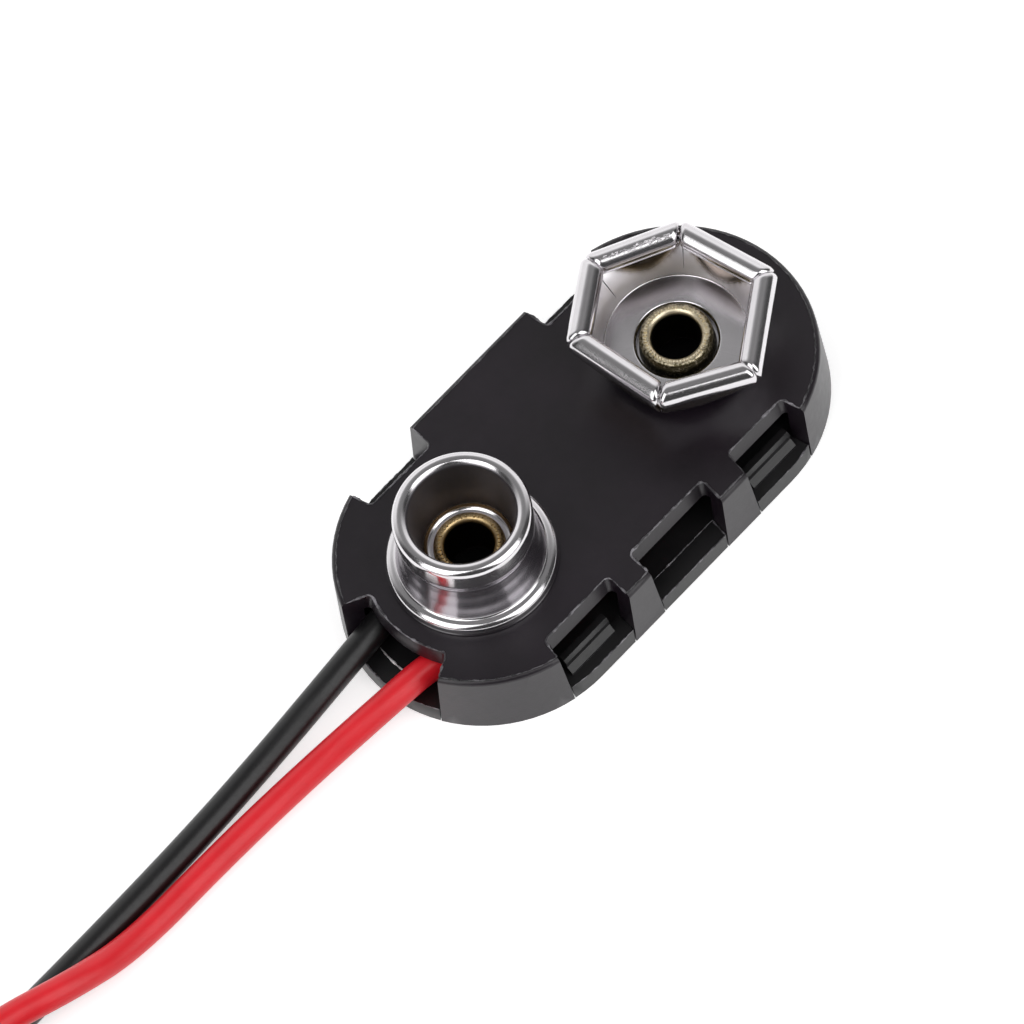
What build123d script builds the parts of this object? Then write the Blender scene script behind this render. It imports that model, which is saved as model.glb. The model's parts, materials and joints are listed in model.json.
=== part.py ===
import os
from math import atan2, cos, degrees, radians, sin, tan

from build123d import *

os.makedirs("parts", exist_ok=True)

# A 9V battery snap: a moulded housing with a rolled stud and a six-petal spring socket
# riveted through its top plate. Millimetres, +Z up. The origin is on the surface that it
# stands on, midway between the contacts, and +X runs from the stud to the socket.

# Centre distance of a 9V battery's two terminals
contact_pitch = 12.7
stud_x = -contact_pitch / 2
socket_x = contact_pitch / 2

# Housing, moulded in one piece and open below
shell_height = 3.6
shell_radius = 6.25
end_centre = 5.85
draft_angle = 2.0
plate_thickness = 0.9
wall_thickness = 0.9
top_round = 0.22

# Notches from the edge of the plate down through the skirt: three on the near side, two on
# the far side, and one at the end for the leads. Each row gives the X of a notch's start
# and end at its bottom, and then at the rim of the plate.
notch_inset = 1.33
near_notches = [(-7.28, -3.38, -7.6, -3.52), (-2.1, 2.42, -2.2, 2.2), (3.95, 7.28, 3.74, 7.52)]
far_notches = [(-7.28, -3.6, -7.5, -3.5), (3.6, 7.28, 3.5, 7.5)]
notch_corner = 0.25
notch_taper = 3.5
notch_face_angle = 9.0
notch_half_span = 7.6
wire_notch_angle = 52.0

# Base cover: a plate in the bottom of the housing, with tabs that fill the feet of the
# notches and a snap ridge on each outer tab
cover_thickness = 0.85
cover_clearance = 0.06
cover_chamfer = 0.15
tab_height = 0.92
tab_inset = 0.98
tab_draft_angle = 3.5
ridge_length = 2.6
ridge_centre = 5.6
ridge_height = 1.74
ridge_thickness = 0.42
ridge_inset = 0.86
ridge_chamfer = 0.13
ridge_foot = 0.27
ridge_foot_height = 1.3

# Stud, drawn and rolled from sheet
stud_sheet = 0.2
stud_height = 4.14
stud_rim_radius = 2.92
stud_mouth_radius = 2.43
stud_neck_radius = 2.55
stud_neck_height = 2.75
stud_rim_height = 3.2
stud_shoulder_radius = 3.15
stud_shoulder_height = 0.92
stud_flange_radius = 3.63
stud_flange_height = 0.66
stud_floor_radius = 1.95
stud_floor_height = 1.0
stud_wall_gap = 0.05
stud_bends = [0.16, 0.12, 0.13, 0.5, 2.0, 0.5, 0.5, 0.13, 0.13, 0.8, 0.9, 0.2]

# Socket, a dished cup of sheet with six rolled petals. The corners are where the petals'
# rolls would meet, seen from the cup's axis, in shares of the span and as unequal as in
# the photo.
socket_sheet = 0.22
socket_span = 5.0
corner_shares = [
    (-0.7, -0.494),
    (0.026, -0.97),
    (0.848, -0.4),
    (0.698, 0.524),
    (-0.076, 0.924),
    (-0.768, 0.476),
]
corner_height = 3.2
cup_opening_radius = 1.73
cup_floor_height = 0.72
cup_floor_radius = 3.1
cup_bend = 0.8
cup_angle = 27.5
petal_angle = 15.6
petal_rise = 2.78
petal_roll_radius = 0.415
petal_roll_sweep = 215.0
petal_curl_radius = 0.26
petal_curl_sweep = 190.0
petal_gap = 0.27
petal_narrowing = 0.38
slit_width = 0.2
slit_start_radius = 3.25
slit_bottom = 0.42

# Eyelets, one through each contact, the plate and a solder tag
eyelet_bore = 1.05
eyelet_wall = 0.2
eyelet_bend = 0.14
eyelet_head_radius = 1.55
eyelet_foot_radius = 1.75
stud_eyelet_rise = 0.37
socket_eyelet_rise = 0.95
eyelet_clearance = 0.05

# Solder tags under the plate
tag_thickness = 0.2
tag_radius = 2.0
tag_tail_width = 1.6
solder_radius = 0.8
solder_depth = 0.9
solder_angle = 25.0
solder_round = 0.2

# Leads: each starts at its stripped end, hung under its tag, and runs out of the wire
# notch. Its first points are at a drop below the tags.
lead_diameter = 1.25
core_diameter = 0.6
strip_length = 1.1
black_drop = 0.55
red_drop = 0.65
red_inner_drop = 0.7
red_exit_drop = 0.57
lead_end_x = -35.6
black_y = 1.3
black_z = 0.64
red_z = 1.93
plate_bottom = shell_height - plate_thickness
tag_bottom = plate_bottom - tag_thickness
black_route = [
    (-9.6, 1.74, tag_bottom - black_drop),
    (-13.0, 1.45, tag_bottom - black_drop),
    (-17.8, 1.46, 0.98),
    (-22.5, 1.34, 0.66),
    (-28.6, 1.26, black_z),
    (lead_end_x, black_y, black_z),
]
red_route = [
    (2.2, -2.05, tag_bottom - red_drop),
    (-1.2, -2.75, tag_bottom - red_inner_drop),
    (-5.6, -2.87, tag_bottom - red_inner_drop),
    (-10.3, -1.33, tag_bottom - red_exit_drop),
    (-13.0, -1.1, tag_bottom - red_exit_drop),
    (-17.6, -0.34, 0.98),
    (-22.2, -0.03, 0.66),
    (-27.6, -0.03, black_z),
    (-30.9, 0.2, red_z - 0.05),
    (-34.0, black_y, red_z),
    (lead_end_x, black_y, red_z),
]

# The rest of each lead is wound into a flat coil, the red one on the black one
coil_x = -41.0
coil_y = -6.8
turn_pitch = 1.3
coil_turns = 3
tinned_diameter = 0.64
tinned_length = 3.0
tinned_turn = 32.0
black_end_angle = 70.0
red_end_angle = 115.0

base_radius = shell_radius + shell_height * tan(radians(draft_angle))
cavity_radius = base_radius - wall_thickness
notch_radius = shell_radius - notch_inset
notch_lean = shell_height * tan(radians(notch_face_angle))
notch_narrowing = shell_height * tan(radians(notch_taper))
hole_radius = eyelet_bore + eyelet_wall + eyelet_clearance
coil_height = lead_diameter + 0.02
coil_outer_radius = black_y - coil_y + turn_pitch / 2
coil_inner_radius = coil_outer_radius - (coil_turns + 0.9) * turn_pitch


def bend_radii(route):
    # The radius at each corner takes up nine tenths of the shorter run beside it
    radii = []
    for before, corner, after in zip(route, route[1:], route[2:]):
        run_in = Vector(*corner) - Vector(*before)
        run_out = Vector(*after) - Vector(*corner)
        half_turn = radians(run_in.get_angle(run_out)) / 2
        radii.append(0.45 * min(run_in.length, run_out.length) / tan(half_turn))
    return radii


# Notches: their plan at the top, and the shape that they cut, a little narrower at its foot
wire_reach = 2 * shell_radius
wire_half_width = wire_reach * tan(radians(wire_notch_angle / 2))
with BuildSketch() as notch_plan:
    for side, notches in ((-1, near_notches), (1, far_notches)):
        for start, end, rim_start, rim_end in notches:
            with BuildLine():
                Polyline(
                    (2 * start - rim_start, side * (notch_radius - notch_inset)),
                    (2 * end - rim_end, side * (notch_radius - notch_inset)),
                    (2 * rim_end - end, side * (shell_radius + notch_inset)),
                    (2 * rim_start - start, side * (shell_radius + notch_inset)),
                    close=True,
                )
            make_face()
    with BuildLine():
        Polyline(
            (-end_centre, 0),
            (-end_centre - wire_reach, wire_half_width),
            (-end_centre - wire_reach, -wire_half_width),
            close=True,
        )
    make_face()
with BuildPart() as notch_cutter:
    extrude(
        notch_plan.sketch.moved(Location((0, 0, shell_height))),
        amount=shell_height,
        dir=(0, 0, -1),
        taper=notch_taper,
    )
    with BuildSketch():
        SlotCenterToCenter(2 * end_centre, 2 * (notch_radius + notch_lean))
        Rectangle(2 * (notch_half_span + notch_lean), 2 * (notch_radius + notch_lean))
    extrude(amount=shell_height, taper=notch_face_angle, mode=Mode.SUBTRACT)
    corners = notch_cutter.edges().filter_by(lambda edge: edge.bounding_box().size.Z > 0.9 * shell_height)
    fillet(corners.filter_by(lambda edge: abs(edge.center().Y) < notch_radius + notch_lean), radius=notch_corner)

# Housing: plate and skirt
with BuildPart() as housing:
    with BuildSketch():
        SlotCenterToCenter(2 * end_centre, 2 * base_radius)
    extrude(amount=shell_height, taper=draft_angle)
    fillet(housing.edges().group_by(Axis.Z)[-1], radius=top_round)
    with BuildSketch():
        SlotCenterToCenter(2 * end_centre, 2 * cavity_radius)
    extrude(amount=plate_bottom, taper=draft_angle, mode=Mode.SUBTRACT)
    add(notch_cutter.part, mode=Mode.SUBTRACT)
    with BuildSketch():
        offset(notch_plan.sketch, amount=-notch_narrowing)
    extrude(amount=plate_bottom, taper=-notch_taper, mode=Mode.SUBTRACT)
    with Locations((stud_x, 0, shell_height), (socket_x, 0, shell_height)):
        Hole(radius=hole_radius, depth=plate_thickness)
housing.part.label = "housing"

# Base cover: the tabs, the snap ridges, and then the plate with both
ridge_face = base_radius - ridge_inset
tab_gap = cover_clearance + notch_narrowing
with BuildPart() as cover_tabs:
    with BuildSketch():
        offset(notch_plan.sketch, amount=-tab_gap)
    extrude(amount=tab_height, taper=-notch_taper)
    with BuildSketch():
        SlotCenterToCenter(2 * end_centre, 2 * (base_radius - cover_clearance / 4))
    extrude(amount=tab_height, taper=tab_draft_angle, mode=Mode.INTERSECT)
    with BuildSketch():
        SlotCenterToCenter(2 * end_centre, 2 * (base_radius - tab_inset))
    extrude(amount=tab_height, mode=Mode.SUBTRACT)
with BuildPart() as snap_ridges:
    with BuildSketch(Plane.YZ.offset(ridge_centre - ridge_length / 2)):
        with BuildLine():
            Polyline(
                (ridge_face - ridge_thickness, cover_thickness / 2),
                (ridge_face + ridge_foot, cover_thickness / 2),
                (ridge_face + ridge_foot, ridge_foot_height - ridge_foot),
                (ridge_face, ridge_foot_height),
                (ridge_face, ridge_height - ridge_chamfer),
                (ridge_face - ridge_chamfer, ridge_height),
                (ridge_face - ridge_thickness, ridge_height),
                close=True,
            )
        make_face()
    extrude(amount=ridge_length)
    mirror(about=Plane.XZ)
    mirror(about=Plane.YZ)
with BuildPart() as base_cover:
    with BuildSketch():
        SlotCenterToCenter(2 * end_centre, 2 * (cavity_radius - cover_clearance))
    extrude(amount=cover_thickness, taper=draft_angle)
    chamfer(base_cover.edges().group_by(Axis.Z)[0], length=cover_chamfer)
    add(cover_tabs.part)
    add(snap_ridges.part)
base_cover.part.label = "base_cover"

# Stud: one sheet that rises from its flange through the neck to the rolled rim, and turns
# down inside it to the floor that the eyelet clamps
stud_axis = Axis((stud_x, 0, 0), (0, 0, 1))
stud_section = Plane(origin=(stud_x, 0, shell_height), x_dir=(1, 0, 0), z_dir=(0, -1, 0))
half_sheet = stud_sheet / 2
inner_wall = stud_neck_radius - half_sheet - stud_sheet - stud_wall_gap
with BuildPart() as stud_contact:
    with BuildSketch(stud_section):
        with BuildLine():
            FilletPolyline(
                (stud_flange_radius - half_sheet, 0),
                (stud_flange_radius - half_sheet, stud_flange_height - half_sheet),
                (stud_shoulder_radius, stud_flange_height - 0.4 * half_sheet),
                (stud_shoulder_radius - half_sheet, stud_shoulder_height - half_sheet),
                (stud_neck_radius + half_sheet, stud_shoulder_height + half_sheet),
                (stud_neck_radius - half_sheet, 0.7 * stud_neck_height),
                (stud_neck_radius - half_sheet, stud_neck_height),
                (stud_rim_radius - half_sheet, stud_rim_height),
                (stud_rim_radius - half_sheet, stud_height - half_sheet),
                (stud_mouth_radius + half_sheet, stud_height - half_sheet),
                (stud_mouth_radius + 0.6 * half_sheet, stud_rim_height + 1.5 * half_sheet),
                (inner_wall, stud_neck_height),
                (stud_floor_radius + half_sheet, stud_floor_height - half_sheet),
                (hole_radius, stud_floor_height - half_sheet),
                radius=stud_bends,
            )
        trace(line_width=stud_sheet)
    revolve(axis=stud_axis)
stud_contact.part.label = "stud_contact"

# Socket: the hollow of the cup, then the rolled tops of the petals, then the cup around
# the hollow with its petals and slits
flare = tan(radians(cup_angle))
lean = tan(radians(petal_angle))
wall_slant = socket_sheet / cos(radians(petal_angle))
roll_reach = petal_roll_radius * cos(radians(petal_angle))
cup_top = cup_floor_height + 2 * petal_rise
corner_apothem = petal_roll_radius + socket_sheet / 2 - roll_reach
hexagon_offset = wall_slant / 2 + (corner_height - petal_rise) * lean - corner_apothem
socket_corners = [(socket_span * x, socket_span * y) for x, y in corner_shares]
with BuildSketch(Plane.XY.offset(corner_height)) as outer_hexagon:
    with BuildLine():
        Polyline(*socket_corners, close=True)
    make_face()
    offset(amount=hexagon_offset, kind=Kind.INTERSECTION)
with BuildSketch(Plane.XY.offset(corner_height)) as inner_hexagon:
    add(outer_hexagon.sketch)
    offset(amount=-wall_slant, kind=Kind.INTERSECTION)
with BuildPart() as socket_hollow:
    with BuildSketch(Plane.XZ):
        with BuildLine():
            FilletPolyline(
                (0, cup_floor_height),
                (cup_floor_radius, cup_floor_height),
                (cup_floor_radius + 2 * petal_rise * flare, cup_top),
                radius=cup_bend,
            )
            Polyline(
                (cup_floor_radius + 2 * petal_rise * flare, cup_top),
                (0, cup_top),
                (0, cup_floor_height),
            )
        make_face()
    revolve(axis=Axis.Z)
    extrude(
        inner_hexagon.sketch,
        amount=corner_height,
        dir=(0, 0, -1),
        taper=petal_angle,
        mode=Mode.INTERSECT,
    )
    with BuildSketch(Plane.XY.offset(socket_sheet)):
        Circle(cup_opening_radius)
    extrude(amount=cup_floor_height)

petal_rolls = []
for start, end in zip(socket_corners, socket_corners[1:] + socket_corners[:1]):
    side = Vector(*end) - Vector(*start)
    middle = (Vector(*start) + Vector(*end)) * 0.5
    outward = Vector(side.Y, -side.X).normalized()
    apothem = middle.dot(outward)
    sheet_middle = apothem - corner_apothem
    outer_half = side.length / 2 - petal_gap
    inner_half = outer_half - petal_narrowing
    inner_end = sheet_middle - 2 * roll_reach
    narrowing = petal_narrowing / (2 * roll_reach)
    near_end = 0.6 * inner_end
    far_end = 1.4 * sheet_middle
    with BuildPart() as petal_roll:
        with BuildSketch(Plane.XZ.offset(-outer_half)):
            with BuildLine():
                wall = Line(
                    (sheet_middle - socket_sheet * lean, petal_rise - socket_sheet),
                    (sheet_middle, petal_rise),
                )
                roll = JernArc(wall @ 1, wall % 1, petal_roll_radius, petal_roll_sweep)
                JernArc(roll @ 1, roll % 1, petal_curl_radius, petal_curl_sweep)
            trace(line_width=socket_sheet)
        extrude(amount=2 * outer_half)
        with BuildSketch():
            with BuildLine():
                Polyline(
                    (near_end, inner_half + (near_end - inner_end) * narrowing),
                    (far_end, inner_half + (far_end - inner_end) * narrowing),
                    (far_end, -inner_half - (far_end - inner_end) * narrowing),
                    (near_end, -inner_half - (near_end - inner_end) * narrowing),
                    close=True,
                )
            make_face()
        extrude(amount=2 * petal_rise, mode=Mode.INTERSECT)
    foot = middle - outward * apothem
    petal_place = Plane(origin=foot, x_dir=outward, z_dir=(0, 0, 1)).location
    petal_rolls.append(petal_roll.part.moved(petal_place))

outer_floor_radius = cup_floor_radius + socket_sheet / cos(radians(cup_angle)) - socket_sheet * flare
with BuildPart() as socket_cup:
    with BuildSketch(Plane.XZ):
        with BuildLine():
            FilletPolyline(
                (0, cup_floor_height - socket_sheet),
                (outer_floor_radius, cup_floor_height - socket_sheet),
                (outer_floor_radius + 2 * petal_rise * flare, cup_top - socket_sheet),
                radius=cup_bend + socket_sheet,
            )
            Polyline(
                (outer_floor_radius + 2 * petal_rise * flare, cup_top - socket_sheet),
                (0, cup_top - socket_sheet),
                (0, cup_floor_height - socket_sheet),
            )
        make_face()
    revolve(axis=Axis.Z)
    extrude(
        outer_hexagon.sketch,
        amount=corner_height,
        dir=(0, 0, -1),
        taper=petal_angle,
        mode=Mode.INTERSECT,
    )
    with BuildSketch(Plane.XY.offset(petal_rise)):
        Circle(2 * petal_rise)
    extrude(amount=petal_rise, mode=Mode.SUBTRACT)
    with BuildSketch():
        Circle(cup_opening_radius + socket_sheet)
    extrude(amount=cup_floor_height)
    add(socket_hollow.part, mode=Mode.SUBTRACT)
    add(petal_rolls)
    with BuildSketch(Plane.XY.offset(slit_bottom)):
        for x, y in socket_corners:
            with Locations(Location((0, 0), degrees(atan2(y, x)))):
                with Locations((slit_start_radius + petal_rise / 2, 0)):
                    Rectangle(petal_rise, slit_width)
    extrude(amount=2 * petal_rise, mode=Mode.SUBTRACT)
    with BuildSketch():
        Circle(hole_radius)
    extrude(amount=cup_floor_height, mode=Mode.SUBTRACT)
with BuildPart() as socket_contact:
    with Locations((socket_x, 0, shell_height)):
        add(socket_cup.part)
socket_contact.part.label = "socket_contact"

# Eyelets: each is turned out under its tag and rolled over above its contact
tube_middle = eyelet_bore + eyelet_wall / 2
head_middle = eyelet_head_radius - eyelet_wall / 2
foot_middle = tag_bottom - eyelet_wall / 2
socket_axis = Axis((socket_x, 0, 0), (0, 0, 1))
with BuildPart() as stud_rivet:
    with BuildSketch(Plane(origin=(stud_x, 0, 0), x_dir=(1, 0, 0), z_dir=(0, -1, 0))):
        with BuildLine():
            seat = shell_height + stud_floor_height
            FilletPolyline(
                (eyelet_foot_radius, foot_middle),
                (tube_middle, foot_middle),
                (tube_middle, seat + stud_eyelet_rise - eyelet_wall / 2),
                (head_middle, seat + stud_eyelet_rise - eyelet_wall / 2),
                (head_middle, seat),
                radius=eyelet_bend,
            )
        trace(line_width=eyelet_wall)
    revolve(axis=stud_axis)
stud_rivet.part.label = "stud_rivet"

with BuildPart() as socket_rivet:
    with BuildSketch(Plane(origin=(socket_x, 0, 0), x_dir=(1, 0, 0), z_dir=(0, -1, 0))):
        with BuildLine():
            seat = shell_height + socket_sheet
            FilletPolyline(
                (eyelet_foot_radius, foot_middle),
                (tube_middle, foot_middle),
                (tube_middle, seat + socket_eyelet_rise - eyelet_wall / 2),
                (head_middle, seat + socket_eyelet_rise - eyelet_wall / 2),
                (head_middle, seat),
                radius=eyelet_bend,
            )
        trace(line_width=eyelet_wall)
    revolve(axis=socket_axis)
socket_rivet.part.label = "socket_rivet"

# Leads: insulation from the stripped end to the coil
black_start = Vector(*black_route[0])
black_along = (black_start - Vector(*black_route[1])).normalized()
black_joint = black_start + black_along * strip_length
red_start = Vector(*red_route[0])
red_along = (red_start - Vector(*red_route[1])).normalized()
red_joint = red_start + red_along * strip_length
black_radii = bend_radii(black_route)
red_radii = bend_radii(red_route)
print("black lead bend radii", [round(radius, 1) for radius in black_radii])
print("red lead bend radii", [round(radius, 1) for radius in red_radii])
with BuildPart() as black_lead:
    with BuildLine():
        FilletPolyline(*black_route, radius=black_radii)
    with BuildSketch(Plane(origin=black_start, z_dir=black_along * -1)):
        Circle(lead_diameter / 2)
    sweep()
black_lead.part.label = "black_lead"

with BuildPart() as red_lead:
    with BuildLine():
        FilletPolyline(*red_route, radius=red_radii)
    with BuildSketch(Plane(origin=red_start, z_dir=red_along * -1)):
        Circle(lead_diameter / 2)
    sweep()
red_lead.part.label = "red_lead"

# Stripped cores, each in the solder of its tag
with BuildPart() as black_lead_core:
    with BuildSketch(Plane(origin=black_start, z_dir=black_along)):
        Circle(core_diameter / 2)
    extrude(amount=strip_length)
black_lead_core.part.label = "black_lead_core"

with BuildPart() as red_lead_core:
    with BuildSketch(Plane(origin=red_start, z_dir=red_along)):
        Circle(core_diameter / 2)
    extrude(amount=strip_length)
red_lead_core.part.label = "red_lead_core"

# Solder tags: a washer under the plate with a tail that reaches over the stripped core
stud_tail = Vector(black_joint.X - stud_x, black_joint.Y, 0)
with BuildPart() as stud_solder_tag:
    with BuildSketch(Plane(origin=(stud_x, 0, tag_bottom), x_dir=stud_tail, z_dir=(0, 0, 1))):
        Circle(tag_radius)
        with Locations((stud_tail.length / 2, 0)):
            Rectangle(stud_tail.length, tag_tail_width)
        with Locations((stud_tail.length, 0)):
            Circle(tag_tail_width / 2)
        Circle(hole_radius, mode=Mode.SUBTRACT)
    extrude(amount=tag_thickness)
stud_solder_tag.part.label = "stud_solder_tag"

socket_tail = Vector(red_joint.X - socket_x, red_joint.Y, 0)
with BuildPart() as socket_solder_tag:
    with BuildSketch(Plane(origin=(socket_x, 0, tag_bottom), x_dir=socket_tail, z_dir=(0, 0, 1))):
        Circle(tag_radius)
        with Locations((socket_tail.length / 2, 0)):
            Rectangle(socket_tail.length, tag_tail_width)
        with Locations((socket_tail.length, 0)):
            Circle(tag_tail_width / 2)
        Circle(hole_radius, mode=Mode.SUBTRACT)
    extrude(amount=tag_thickness)
socket_solder_tag.part.label = "socket_solder_tag"

# Solder joints: a drop under each tail, around the core
with BuildPart() as stud_solder_joint:
    with BuildSketch(Plane(origin=(black_joint.X, black_joint.Y, tag_bottom), z_dir=(0, 0, -1))):
        Circle(solder_radius)
    extrude(amount=solder_depth, taper=solder_angle)
    fillet(stud_solder_joint.edges().group_by(Axis.Z)[0], radius=solder_round)
    add(black_lead_core.part, mode=Mode.SUBTRACT)
stud_solder_joint.part.label = "stud_solder_joint"

with BuildPart() as socket_solder_joint:
    with BuildSketch(Plane(origin=(red_joint.X, red_joint.Y, tag_bottom), z_dir=(0, 0, -1))):
        Circle(solder_radius)
    extrude(amount=solder_depth, taper=solder_angle)
    fillet(socket_solder_joint.edges().group_by(Axis.Z)[0], radius=solder_round)
    add(red_lead_core.part, mode=Mode.SUBTRACT)
socket_solder_joint.part.label = "socket_solder_joint"

# Coils: the outer shape of each lead's turns, with the first straight piece of the lead
with BuildPart() as black_lead_coil:
    with BuildSketch():
        with Locations((coil_x, coil_y)):
            Circle(coil_outer_radius)
            Circle(coil_inner_radius, mode=Mode.SUBTRACT)
    extrude(amount=coil_height)
    with BuildSketch(Plane(origin=black_route[-1], z_dir=(-1, 0, 0))):
        Circle(lead_diameter / 2)
    extrude(amount=lead_end_x - coil_x)
black_lead_coil.part.label = "black_lead_coil"

with BuildPart() as red_lead_coil:
    with BuildSketch(Plane.XY.offset(red_z - coil_height / 2)):
        with Locations((coil_x, coil_y)):
            Circle(coil_outer_radius)
            Circle(coil_inner_radius, mode=Mode.SUBTRACT)
    extrude(amount=coil_height)
    with BuildSketch(Plane(origin=red_route[-1], z_dir=(-1, 0, 0))):
        Circle(lead_diameter / 2)
    extrude(amount=lead_end_x - coil_x)
red_lead_coil.part.label = "red_lead_coil"

# Far ends, stripped and tinned, each turned in from its coil
black_end = radians(black_end_angle)
black_out = radians(black_end_angle + 90 + tinned_turn)
black_exit = (
    coil_x + coil_inner_radius * cos(black_end),
    coil_y + coil_inner_radius * sin(black_end),
    black_z,
)
with BuildPart() as black_lead_tinned_end:
    with BuildSketch(Plane(origin=black_exit, z_dir=(cos(black_out), sin(black_out), 0))):
        Circle(tinned_diameter / 2)
    extrude(amount=tinned_length)
    extrude(black_lead_tinned_end.faces().sort_by(Axis.X)[-1], amount=tinned_diameter)
    add(black_lead_coil.part, mode=Mode.SUBTRACT)
black_lead_tinned_end.part.label = "black_lead_tinned_end"

red_end = radians(red_end_angle)
red_out = radians(red_end_angle + 90 + tinned_turn)
red_exit = (
    coil_x + coil_inner_radius * cos(red_end),
    coil_y + coil_inner_radius * sin(red_end),
    red_z,
)
with BuildPart() as red_lead_tinned_end:
    with BuildSketch(Plane(origin=red_exit, z_dir=(cos(red_out), sin(red_out), 0))):
        Circle(tinned_diameter / 2)
    extrude(amount=tinned_length)
    extrude(red_lead_tinned_end.faces().sort_by(Axis.Y)[-1], amount=tinned_diameter)
    add(red_lead_coil.part, mode=Mode.SUBTRACT)
red_lead_tinned_end.part.label = "red_lead_tinned_end"

export_step(housing.part, "parts/housing.step")
export_step(base_cover.part, "parts/base_cover.step")
export_step(stud_contact.part, "parts/stud_contact.step")
export_step(socket_contact.part, "parts/socket_contact.step")
export_step(stud_rivet.part, "parts/stud_rivet.step")
export_step(socket_rivet.part, "parts/socket_rivet.step")
export_step(stud_solder_tag.part, "parts/stud_solder_tag.step")
export_step(socket_solder_tag.part, "parts/socket_solder_tag.step")
export_step(stud_solder_joint.part, "parts/stud_solder_joint.step")
export_step(socket_solder_joint.part, "parts/socket_solder_joint.step")
export_step(black_lead.part, "parts/black_lead.step")
export_step(red_lead.part, "parts/red_lead.step")
export_step(black_lead_core.part, "parts/black_lead_core.step")
export_step(red_lead_core.part, "parts/red_lead_core.step")
export_step(black_lead_coil.part, "parts/black_lead_coil.step")
export_step(red_lead_coil.part, "parts/red_lead_coil.step")
export_step(black_lead_tinned_end.part, "parts/black_lead_tinned_end.step")
export_step(red_lead_tinned_end.part, "parts/red_lead_tinned_end.step")
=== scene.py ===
import json
import math

import bmesh
import bpy
from mathutils import Matrix, Vector

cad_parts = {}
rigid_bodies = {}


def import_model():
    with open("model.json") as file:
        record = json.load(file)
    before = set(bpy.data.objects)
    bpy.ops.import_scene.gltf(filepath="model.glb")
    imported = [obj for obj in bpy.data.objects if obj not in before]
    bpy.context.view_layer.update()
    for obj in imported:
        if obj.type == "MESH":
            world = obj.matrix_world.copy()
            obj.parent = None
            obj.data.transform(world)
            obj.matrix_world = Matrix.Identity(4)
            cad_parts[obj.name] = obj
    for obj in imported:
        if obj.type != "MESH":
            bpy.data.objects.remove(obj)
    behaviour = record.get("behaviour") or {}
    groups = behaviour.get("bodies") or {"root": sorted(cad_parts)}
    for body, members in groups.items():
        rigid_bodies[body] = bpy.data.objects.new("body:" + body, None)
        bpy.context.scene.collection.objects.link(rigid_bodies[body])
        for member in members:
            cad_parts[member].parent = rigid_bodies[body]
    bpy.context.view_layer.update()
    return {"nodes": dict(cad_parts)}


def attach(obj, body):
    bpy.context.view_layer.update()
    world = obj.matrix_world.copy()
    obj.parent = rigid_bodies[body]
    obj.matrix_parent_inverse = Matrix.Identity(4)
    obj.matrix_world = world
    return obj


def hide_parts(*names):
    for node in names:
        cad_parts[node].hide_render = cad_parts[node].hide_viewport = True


for stray in list(bpy.data.objects):
    bpy.data.objects.remove(stray)

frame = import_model()
nodes = frame["nodes"]
mm = 0.001
print("frame loaded:", len(nodes), "nodes")


def addObject(name, data):
    piece = bpy.data.objects.new(name, data)
    bpy.context.scene.collection.objects.link(piece)
    return piece


# Camera at the photo's viewing angle, for a square image

cameraPlace = {
    "lens": 505.2,
    "sensorWidth": 36.0,
    "clip": (0.05, 20.0),
    "location": (-0.162711, -0.22967, 0.529893),
    "right": (0.67471, -0.72912, -0.11464),
    "up": (0.68819, 0.56532, 0.45476),
    "back": (-0.26677, -0.38573, 0.8832),
}

cameraData = bpy.data.cameras.new("photoCamera")
cameraData.lens = cameraPlace["lens"]
cameraData.sensor_width = cameraPlace["sensorWidth"]
cameraData.clip_start, cameraData.clip_end = cameraPlace["clip"]
photoCamera = addObject("photoCamera", cameraData)
turn = Matrix((cameraPlace["right"], cameraPlace["up"], cameraPlace["back"])).transposed()
photoCamera.matrix_world = Matrix.Translation(cameraPlace["location"]) @ turn.to_4x4()
bpy.context.scene.camera = photoCamera


# Small helpers for node trees; they pass on the output that the next node takes

def feed(node, inputs):
    # each input gets a value, or a link from another node's output
    for socket, value in inputs.items():
        if isinstance(value, bpy.types.NodeSocket):
            node.id_data.links.new(value, node.inputs[socket])
        else:
            node.inputs[socket].default_value = value


def addNode(tree, kind, inputs=None, **settings):
    node = tree.nodes.new(kind)
    for key, value in settings.items():
        setattr(node, key, value)
    feed(node, inputs or {})
    return node


def maths(tree, operation, *values):
    return addNode(tree, "ShaderNodeMath", dict(enumerate(values)), operation=operation).outputs["Value"]


def vectorMaths(tree, operation, *values):
    return addNode(tree, "ShaderNodeVectorMath", dict(enumerate(values)), operation=operation).outputs


def mapRange(tree, value, source=(0.0, 1.0), target=(0.0, 1.0), kind="LINEAR"):
    inputs = {"Value": value, "From Min": source[0], "From Max": source[1]}
    inputs |= {"To Min": target[0], "To Max": target[1]}
    return addNode(tree, "ShaderNodeMapRange", inputs, interpolation_type=kind).outputs["Result"]


def startMaterial(name):
    material = bpy.data.materials.new(name)
    material.use_nodes = True
    tree = material.node_tree
    return material, tree, tree.nodes["Principled BSDF"]


def setMaterial(piece, material):
    piece.data.materials.clear()
    piece.data.materials.append(material)


def objectNoise(tree, scale, detail, rough=0.5, stretch=(1, 1, 1)):
    # noise on Object coordinates, in cycles per metre, stretched for streaks
    place = addNode(tree, "ShaderNodeTexCoord").outputs["Object"]
    mapping = addNode(tree, "ShaderNodeMapping", {"Vector": place, "Scale": stretch})
    inputs = {"Vector": mapping.outputs["Vector"], "Scale": scale, "Detail": detail, "Roughness": rough}
    return addNode(tree, "ShaderNodeTexNoise", inputs).outputs["Fac"]


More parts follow.
